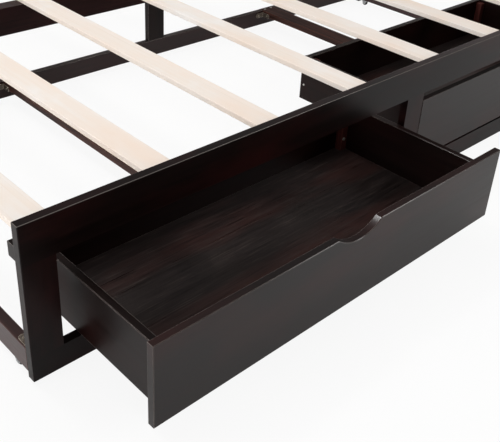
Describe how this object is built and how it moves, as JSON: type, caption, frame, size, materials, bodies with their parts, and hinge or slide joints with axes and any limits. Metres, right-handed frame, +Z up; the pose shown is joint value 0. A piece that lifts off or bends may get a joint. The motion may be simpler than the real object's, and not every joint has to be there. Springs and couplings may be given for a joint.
{
  "type": "extendable platform bed with storage drawers",
  "caption": "Low dark wooden platform bed whose slatted front section rolls out of a fixed rear section, with scooped wooden drawers in its front panel.",
  "frame": {"origin": "centre of the bounding box in plan, on the floor, with the bed drawn out and the left drawer open", "axes": "+X along the front panel to the right, +Y from the front panel to the wall side, +Z up"},
  "size_m": [2.026, 2.187, 0.318],
  "materials": {
    "espresso_wood": "satin lacquer",
    "red_brown_wood": "satin stain",
    "drawer_bottom_board": "satin foil",
    "pale_slat_wood": "bare planed",
    "bracket_steel": "yellow zinc",
    "caster_steel": "bright zinc",
    "wheel_rubber": "matt"
  },
  "bodies": {
    "fixed_frame": {"fixed_front_rail": "espresso_wood", "fixed_backing_rail": "espresso_wood", "rear_rail": "espresso_wood", "rear_ledger": "espresso_wood", "fixed_end_rail_left": "espresso_wood", "fixed_end_rail_right": "espresso_wood", "leg_front_left": "espresso_wood", "leg_front_right": "espresso_wood", "leg_rear_left": "espresso_wood", "leg_rear_right": "espresso_wood", "fixed_slat_1": "pale_slat_wood", "fixed_slat_2": "pale_slat_wood", "fixed_slat_3": "pale_slat_wood", "fixed_slat_4": "pale_slat_wood", "fixed_slat_5": "pale_slat_wood", "fixed_slat_6": "pale_slat_wood", "fixed_slat_7": "pale_slat_wood", "fixed_frame_brackets": "bracket_steel"},
    "pull_out": {"panel_top_rail": "espresso_wood", "panel_bottom_rail": "espresso_wood", "panel_stile_left": "espresso_wood", "panel_stile_middle": "espresso_wood", "panel_stile_right": "espresso_wood", "front_ledger": "espresso_wood", "base_end_rail_left": "espresso_wood", "base_end_rail_right": "espresso_wood", "drawer_runner_left": "red_brown_wood", "drawer_runner_right": "red_brown_wood", "base_back_rail": "espresso_wood", "middle_post": "espresso_wood", "pull_out_slat_1": "pale_slat_wood", "pull_out_slat_2": "pale_slat_wood", "pull_out_slat_3": "pale_slat_wood", "pull_out_slat_4": "pale_slat_wood", "pull_out_slat_5": "pale_slat_wood", "pull_out_slat_6": "pale_slat_wood", "pull_out_slat_7": "pale_slat_wood", "pull_out_slat_8": "pale_slat_wood", "pull_out_brackets": "bracket_steel", "caster_housings": "caster_steel", "caster_axles": "caster_steel"},
    "left_drawer": {"left_drawer_front": "espresso_wood", "left_drawer_side_left": "espresso_wood", "left_drawer_side_right": "espresso_wood", "left_drawer_back": "espresso_wood", "left_drawer_bottom": "drawer_bottom_board", "left_drawer_corner_blocks": "red_brown_wood", "left_drawer_guide_battens": "red_brown_wood"},
    "right_drawer": {"right_drawer_front": "espresso_wood", "right_drawer_side_left": "espresso_wood", "right_drawer_side_right": "espresso_wood", "right_drawer_back": "espresso_wood", "right_drawer_bottom": "drawer_bottom_board", "right_drawer_corner_blocks": "red_brown_wood", "right_drawer_guide_battens": "red_brown_wood"},
    "wheel_front_left": {"caster_wheel_front_left": "wheel_rubber"},
    "wheel_front_right": {"caster_wheel_front_right": "wheel_rubber"},
    "wheel_rear_left": {"caster_wheel_rear_left": "wheel_rubber"},
    "wheel_rear_right": {"caster_wheel_rear_right": "wheel_rubber"}
  },
  "joints": [
    {"name": "pull_out_slide", "type": "slide", "parent": "fixed_frame", "child": "pull_out", "axis": [0, 1, 0], "range_m": [0, 0.89]},
    {"name": "left_drawer_slide", "type": "slide", "parent": "pull_out", "child": "left_drawer", "axis": [0, -1, 0], "range_m": [-0.242, 0.1]},
    {"name": "right_drawer_slide", "type": "slide", "parent": "pull_out", "child": "right_drawer", "axis": [0, -1, 0], "range_m": [0, 0.342]},
    {"name": "wheel_front_left_spin", "type": "hinge", "parent": "pull_out", "child": "wheel_front_left", "pos_m": [-0.98, -0.7915, 0.0095], "axis": [1, 0, 0], "continuous": true},
    {"name": "wheel_front_right_spin", "type": "hinge", "parent": "pull_out", "child": "wheel_front_right", "pos_m": [0.98, -0.7915, 0.0095], "axis": [1, 0, 0], "continuous": true},
    {"name": "wheel_rear_left_spin", "type": "hinge", "parent": "pull_out", "child": "wheel_rear_left", "pos_m": [-0.98, 0.0695, 0.0095], "axis": [1, 0, 0], "continuous": true},
    {"name": "wheel_rear_right_spin", "type": "hinge", "parent": "pull_out", "child": "wheel_rear_right", "pos_m": [0.98, 0.0695, 0.0095], "axis": [1, 0, 0], "continuous": true}
  ]
}
